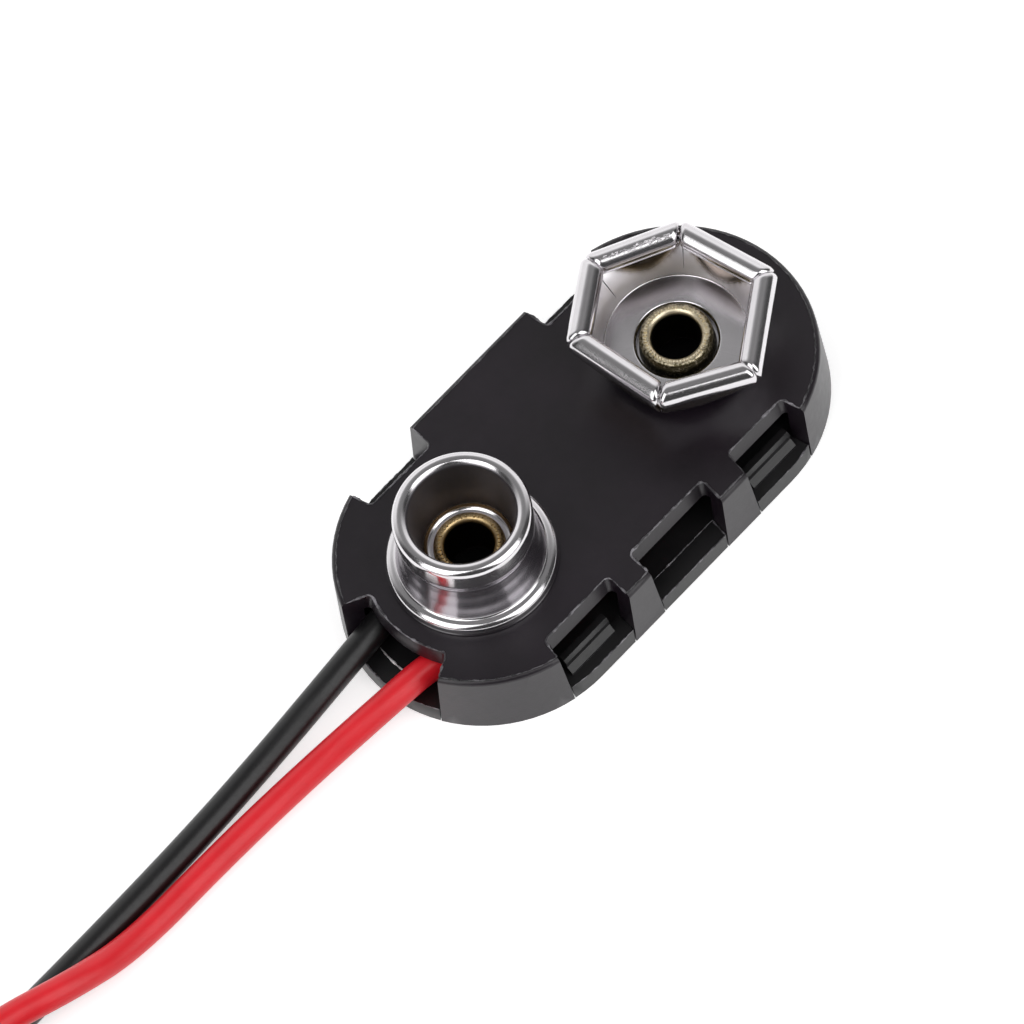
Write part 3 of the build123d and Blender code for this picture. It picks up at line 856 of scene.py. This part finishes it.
def highlightLineTree():
    # an uneven bead along the given edges, which sinks away in places
    tree, sockets, given = startGeometryTree("highlightLineBead", {
        "Step": "Float", "Thickness": "Float", "Wander": "Float", "Per metre": "Float", "Patches": "Float",
        "Finish": "Material",
    })
    lines = addNode(tree, "GeometryNodeMeshToCurve", {"Mesh": given["Geometry"]}).outputs["Curve"]
    inputs = {"Curve": lines, "Length": given["Step"]}
    spaced = addNode(tree, "GeometryNodeResampleCurve", inputs, mode="LENGTH")
    where = addNode(tree, "GeometryNodeInputPosition").outputs["Position"]
    fine = addNode(tree, "ShaderNodeTexNoise", {"Vector": where, "Scale": given["Per metre"]}).outputs
    broad = addNode(tree, "ShaderNodeTexNoise", {"Vector": where, "Scale": given["Patches"]}).outputs
    shift = vectorMaths(tree, "SUBTRACT", fine["Color"], (0.5, 0.5, 0.5))["Vector"]
    wander = addNode(tree, "ShaderNodeVectorMath", {0: shift, "Scale": given["Wander"]}, operation="SCALE")
    inputs = {"Geometry": spaced.outputs["Curve"], "Offset": wander.outputs["Vector"]}
    moved = addNode(tree, "GeometryNodeSetPosition", inputs)
    both = maths(tree, "MULTIPLY", fine["Fac"], broad["Fac"])
    swell = mapRange(tree, both, (0.14, 0.36), (0.25, 1.5))
    bead = sweep(tree, moved.outputs["Geometry"], given["Thickness"], 6, Scale=swell)
    endGeometryTree(tree, bead, given["Finish"])
    return tree, sockets


beads, beadSockets = highlightLineTree()


def mouldedEdges(nodeName, level, keep):
    # the edges of the CAD piece round its upward faces at one height, in millimetres
    build = bmesh.new()
    build.from_mesh(nodes[nodeName].data)
    bmesh.ops.remove_doubles(build, verts=build.verts, dist=moulding["merge"] * mm)
    points = []
    edges = []
    for edge in build.edges:
        ends = [vertex.co / mm for vertex in edge.verts]
        if len(edge.link_faces) != 2 or any(abs(end.z - level) > lips["level"] for end in ends):
            continue
        upward = [face.normal.z > lips["upright"] for face in edge.link_faces]
        if upward[0] == upward[1] or not keep((ends[0] + ends[1]) / 2):
            continue
        edges.append((len(points), len(points) + 1))
        points += [tuple(end) for end in ends]
    build.free()
    return points, edges


def fromSpine(spot):
    return math.hypot(max(abs(spot.x) - lips["spineHalf"], 0), spot.y)


def onNotch(spot):
    fromContact = math.hypot(abs(spot.x) - lips["contactAt"], spot.y)
    return fromContact > lips["contactRadius"] and fromSpine(spot) < lips["rim"]


def onRim(spot):
    return fromSpine(spot) > lips["rim"]


def onTab(spot):
    halfWidth, front = lips["middleTab"]
    return fromSpine(spot) > lips["tabRim"] or (abs(spot.x) < halfWidth and spot.y < front)


def onWireTab(spot):
    (back, front), (right, left) = lips["wireTab"]
    return back < spot.x < front and right < spot.y < left


def beadAlong(name, points, edges, finish, slotName, settings):
    piece = placeMesh(name, points, [], finish)
    build = bmesh.new()
    corners = [build.verts.new([c * mm for c in point]) for point in points]
    for first, second in edges:
        build.edges.new((corners[first], corners[second]))
    bmesh.ops.remove_doubles(build, verts=build.verts, dist=0.002 * mm)
    build.to_mesh(piece.data)
    build.free()
    bakeNodes(piece, beads, beadSockets, {
        "Step": settings["step"] * mm,
        "Thickness": settings["thickness"] * mm,
        "Wander": settings["wander"] * mm,
        "Per metre": settings["perMetre"],
        "Patches": settings["patches"],
        "Finish": finish,
    })
    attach(piece, "root")
    return piece


plateEdges = mouldedEdges("housing", lips["plateTop"], onNotch)
rimEdges = mouldedEdges("housing", lips["plateTop"], onRim)
tabEdges = mouldedEdges("base_cover", lips["tabTop"], onTab)
wireEdges = mouldedEdges("base_cover", lips["tabTop"], onWireTab)
rimSize = {**highlightLines, "thickness": 0.034}
tabSize = {**highlightLines, "thickness": 0.032}
wireSize = {**highlightLines, "thickness": 0.05, "wander": 0.03}
# pale beads along the edges: painted highlights
beadAlong("plateHighlightLine", *plateEdges, highlightLinePlastic, "black_housing_plastic", highlightLines)
beadAlong("rimHighlightLine", *rimEdges, housingEdgeHighlight, "black_housing_plastic", rimSize)
beadAlong("tabHighlightLine", *tabEdges, highlightLinePlastic, "black_cover_plastic", tabSize)
# the near-white bead on the wire notch's tab edge: a painted glint
beadAlong("wireGlintLine", *wireEdges, glintPlastic, "black_cover_plastic", wireSize)
print("flash laid:", len(plateEdges[1]), len(rimEdges[1]), len(tabEdges[1]), len(wireEdges[1]), "edges")


# The far roll's plating is rough along its inner side; each line has its turn inwards in degrees and its reach

roughRoll = {
    "petal": 3, "lines": {10: (-0.5, 0.9), 16: (-0.84, 0.88), 22: (-0.8, 0.84), 28: (-0.86, 0.3)},
    "narrowed": 0.5, "sunk": 0.01,
    "step": 0.05, "thickness": 0.03, "wander": 0.2, "perMetre": 9000, "patches": 2600,
}


def rollLine(plane, turnedIn, reach, sheet, rough):
    lean = math.radians(sheet["lean"])
    angle = math.radians(90 + turnedIn)
    radius = sheet["rollRadius"]
    surface = radius + sheet["sheet"] / 2
    out = plane["wall"] - radius * math.cos(lean) + surface * math.cos(angle)
    height = sheet["petalRise"] + radius * math.sin(lean) + surface * math.sin(angle)
    half = plane["half"] - sheet["narrowing"] * rough["narrowed"]
    points = []
    for share in reach:
        spot = plane["foot"] + plane["outward"] * out + plane["along"] * half * share + Vector(sheet["centre"])
        points.append((spot.x, spot.y, height + sheet["base"] - rough["sunk"]))
    return points


roughPetal = petalPlanes(socket)[roughRoll["petal"]]
roughPoints = []
for turnedIn, reach in roughRoll["lines"].items():
    roughPoints += rollLine(roughPetal, turnedIn, reach, socket, roughRoll)
roughEdges = [(first, first + 1) for first in range(0, len(roughPoints), 2)]
roughPlating = beadAlong("roughPlating", roughPoints, roughEdges, socketPlate, "plated_socket", roughRoll)
print("rough plating laid:", len(roughPlating.data.polygons))


# Leads: from the stripped end inside the housing, out of the wire notch, and into a flat coil

leads = {
    "diameter": 1.25,
    "coilCentre": (-41.0, -6.8),
    "coilRadius": 8.1,
    "turnPitch": 1.3,
    "pointsPerTurn": 18,
    "exitTurn": 32,
    "exitRadius": 3.68,
    "lastRun": 1.5,
}
blackCoil = {"turns": 2.8, "height": 0.64, "exitAngle": 70}
blackRoute = [
    (-9.6, 1.74, 1.95),
    (-13.0, 1.45, 1.95),
    (-17.8, 1.46, 0.98),
    (-22.5, 1.34, 0.66),
    (-28.6, 1.26, 0.64),
    (-35.6, 1.3, 0.64),
]
redCoil = {"turns": 2.93, "height": 1.93, "exitAngle": 115}
redRoute = [
    (2.2, -2.05, 1.85),
    (-1.2, -2.75, 1.8),
    (-5.6, -2.87, 1.8),
    (-10.3, -1.33, 1.93),
    (-13.0, -1.1, 1.93),
    (-17.6, -0.34, 0.98),
    (-22.2, -0.03, 0.66),
    (-27.6, -0.03, 0.64),
    (-30.9, 0.2, 1.88),
    (-34.0, 1.3, 1.93),
    (-35.6, 1.3, 1.93),
]


def coilTurns(coil, settings):
    # more points of the lead's own line, from the top of the coil inwards
    perTurn = settings["pointsPerTurn"]
    step = 360 / perTurn
    reach = 1 / math.cos(math.radians(step / 2))
    points = []
    for count in range(1, int(coil["turns"] * perTurn) + 1):
        angle = math.radians(90 + count * step)
        radius = (settings["coilRadius"] - settings["turnPitch"] * count / perTurn) * reach
        x = settings["coilCentre"][0] + radius * math.cos(angle)
        y = settings["coilCentre"][1] + radius * math.sin(angle)
        points.append((x, y, coil["height"]))
    return points


def leadExit(coil, settings):
    # where the insulation ends at the coil's inner side, and the point before it
    angle = math.radians(coil["exitAngle"])
    heading = math.radians(coil["exitAngle"] + 90 + settings["exitTurn"])
    x = settings["coilCentre"][0] + settings["exitRadius"] * math.cos(angle)
    y = settings["coilCentre"][1] + settings["exitRadius"] * math.sin(angle)
    run = settings["lastRun"]
    before = (x - run * math.cos(heading), y - run * math.sin(heading), coil["height"])
    return [before, (x, y, coil["height"])]


def makeLead(name, line, material, settings):
    curve = bpy.data.curves.new(name, "CURVE")
    curve.dimensions = "3D"
    curve.bevel_depth = settings["diameter"] / 2 * mm
    curve.bevel_resolution = 10
    curve.resolution_u = 16
    curve.use_fill_caps = True
    spline = curve.splines.new("NURBS")
    spline.points.add(len(line) - 1)
    for point, place in zip(spline.points, line):
        point.co = (*[c * mm for c in place], 1)
    spline.order_u = 3
    spline.use_endpoint_u = True
    curve.materials.append(material)
    return addObject(name, curve)


blackLine = blackRoute + coilTurns(blackCoil, leads) + leadExit(blackCoil, leads)
redLine = redRoute + coilTurns(redCoil, leads) + leadExit(redCoil, leads)
blackLead = makeLead("blackLead", blackLine, blackInsulation, leads)
redLead = makeLead("redLead", redLine, redInsulation, leads)


# Strands: seven in each lead, six twisted round one, bare at both ends of the insulation

strands = {"wrap": 0.2, "radius": 0.1, "turnsPerMm": 0.16, "farLength": 3.0, "nearLength": 1.1, "hidden": 0.4}


def strandTree():
    tree, sockets, given = startGeometryTree("strandBundle", {
        "Length": "Float", "Wrap radius": "Float", "Strand radius": "Float", "Turns": "Float",
        "Tin": "Material",
    })
    twist = addNode(tree, "GeometryNodeCurveSpiral", {
        "Resolution": 48, "Rotations": given["Turns"], "Start Radius": given["Wrap radius"],
        "End Radius": given["Wrap radius"], "Height": given["Length"],
    })
    six = addNode(tree, "GeometryNodePoints", {"Count": 6})
    count = addNode(tree, "GeometryNodeInputIndex").outputs["Index"]
    sixth = maths(tree, "MULTIPLY", count, math.pi / 3)
    turned = addNode(tree, "ShaderNodeCombineXYZ", {"Z": sixth})
    around = addNode(tree, "GeometryNodeInstanceOnPoints", {
        "Points": six.outputs["Points"], "Instance": twist.outputs["Curve"],
        "Rotation": turned.outputs["Vector"],
    })
    outer = addNode(tree, "GeometryNodeRealizeInstances", {"Geometry": around.outputs["Instances"]})
    tip = addNode(tree, "ShaderNodeCombineXYZ", {"Z": given["Length"]})
    middle = addNode(tree, "GeometryNodeCurvePrimitiveLine", {"End": tip.outputs["Vector"]})
    seven = joined(tree, outer.outputs["Geometry"], middle.outputs["Curve"])
    endGeometryTree(tree, sweep(tree, seven, given["Strand radius"], 12), given["Tin"])
    return tree, sockets


bundle, bundleSockets = strandTree()


def makeStrands(name, nodeName, inner, tip, length, settings):
    # from a little inside the insulation, straight on for the given length
    bare = placeMesh(name, [(0, 0, 0)], [], strandTin)
    total = length + settings["hidden"]
    bakeNodes(bare, bundle, bundleSockets, {
        "Length": total * mm,
        "Wrap radius": settings["wrap"] * mm,
        "Strand radius": settings["radius"] * mm,
        "Turns": settings["turnsPerMm"] * total,
        "Tin": strandTin,
    })
    heading = (Vector(tip) - Vector(inner)).normalized()
    start = (Vector(tip) - heading * settings["hidden"]) * mm
    bare.data.transform(Matrix.Translation(start) @ heading.to_track_quat("Z", "Y").to_matrix().to_4x4())
    standFor(bare, nodeName)
    return bare


farLength, nearLength = strands["farLength"], strands["nearLength"]
blackEnd = makeStrands("blackEnd", "black_lead_tinned_end", *blackLine[-2:], farLength, strands)
redEnd = makeStrands("redEnd", "red_lead_tinned_end", *redLine[-2:], farLength, strands)
makeStrands("blackCore", "black_lead_core", blackLine[1], blackLine[0], nearLength, strands)
makeStrands("redCore", "red_lead_core", redLine[1], redLine[0], nearLength, strands)
print("strands twisted")

for lead, names, slotName in (
    (blackLead, ("black_lead", "black_lead_coil"), "black_insulation"),
    (redLead, ("red_lead", "red_lead_coil"), "red_insulation"),
):
    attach(lead, "root")
    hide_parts(*names)
print("leads laid")


# Floor and light

studio = {"floorSize": 1.2, "floorBelow": 0.00002, "floorColour": (0.86, 0.86, 0.86), "floorGlow": 0.5}

floorMesh = bpy.data.meshes.new("floor")
floorBuild = bmesh.new()
bmesh.ops.create_grid(floorBuild, x_segments=4, y_segments=4, size=studio["floorSize"] / 2)
floorBuild.to_mesh(floorMesh)
floorBuild.free()
floor = addObject("floor", floorMesh)
floor.location = (0, 0, -studio["floorBelow"])

# the floor's glow is there for the camera, for reflections and for see-through rays only
floorMaterial = bpy.data.materials.new("paleFloor")
floorMaterial.use_nodes = True
floorTree = floorMaterial.node_tree
floorTree.nodes.clear()
rays = addNode(floorTree, "ShaderNodeLightPath").outputs
seen = maths(floorTree, "MAXIMUM", rays["Is Camera Ray"], rays["Is Glossy Ray"])
seen = maths(floorTree, "MAXIMUM", seen, rays["Is Transmission Ray"])
glow = maths(floorTree, "MULTIPLY", seen, studio["floorGlow"])
paint = addNode(floorTree, "ShaderNodeBsdfDiffuse", {"Color": (*studio["floorColour"], 1)})
light = addNode(floorTree, "ShaderNodeEmission", {"Strength": glow})
surface = addNode(floorTree, "ShaderNodeAddShader", {0: paint.outputs["BSDF"], 1: light.outputs["Emission"]})
addNode(floorTree, "ShaderNodeOutputMaterial", {"Surface": surface.outputs["Shader"]})
setMaterial(floor, floorMaterial)

# a bright wall behind, one large soft panel above and behind, and the dark side that the camera
# stands on between the two lamps
softBoxes = {
    "wall": {"azimuth": 55, "elevation": 0, "full": 44, "gone": 84, "level": 1.3},
    "wallTop": (0.92, 0.62),
    "panel": {"azimuth": 55, "elevation": 66, "full": 18, "gone": 46, "level": 0.22},
    "dark": 0.07,
}


def towards(azimuth, elevation):
    azimuth, elevation = math.radians(azimuth), math.radians(elevation)
    flat = math.cos(elevation)
    return Vector((math.cos(azimuth) * flat, math.sin(azimuth) * flat, math.sin(elevation)))


def softPatch(tree, heading, patch):
    # the patch's level within the full angle of its middle, fading to 0 where it is gone
    middle = towards(patch["azimuth"], patch["elevation"])
    nearness = vectorMaths(tree, "DOT_PRODUCT", heading, middle)["Value"]
    limits = [math.cos(math.radians(patch[limit])) for limit in ("gone", "full")]
    return mapRange(tree, nearness, limits, (0.0, patch["level"]), kind="SMOOTHSTEP")


world = bpy.data.worlds.new("studio")
bpy.context.scene.world = world
world.use_nodes = True
worldTree = world.node_tree
worldTree.nodes.clear()
heading = addNode(worldTree, "ShaderNodeTexCoord").outputs["Generated"]
upward = addNode(worldTree, "ShaderNodeSeparateXYZ", {"Vector": heading}).outputs["Z"]
low = mapRange(worldTree, upward, softBoxes["wallTop"], kind="SMOOTHSTEP")
wall = softPatch(worldTree, heading, softBoxes["wall"])
panel = softPatch(worldTree, heading, softBoxes["panel"])
level = maths(worldTree, "MULTIPLY_ADD", wall, low, softBoxes["dark"])
backdrop = addNode(worldTree, "ShaderNodeBackground", {"Strength": maths(worldTree, "ADD", level, panel)})
addNode(worldTree, "ShaderNodeOutputWorld", {"Surface": backdrop.outputs["Background"]})

lamps = {
    "leftLamp": {"azimuth": 184, "elevation": 42, "distance": 0.6, "size": (0.4, 0.76), "watts": 2.2},
    "rightLamp": {"azimuth": 283, "elevation": 42, "distance": 0.6, "size": (0.4, 0.76), "watts": 2.2},
}
for lampName, lamp in lamps.items():
    away = towards(lamp["azimuth"], lamp["elevation"])
    lampData = bpy.data.lights.new(lampName, "AREA")
    lampData.shape = "RECTANGLE"
    lampData.size, lampData.size_y = lamp["size"]
    lampData.energy = lamp["watts"]
    lampObject = addObject(lampName, lampData)
    lampObject.location = away * lamp["distance"]
    lampObject.rotation_euler = away.to_track_quat("Z", "Y").to_euler()

bpy.context.scene.view_settings.view_transform = "Standard"
print("studio lit")
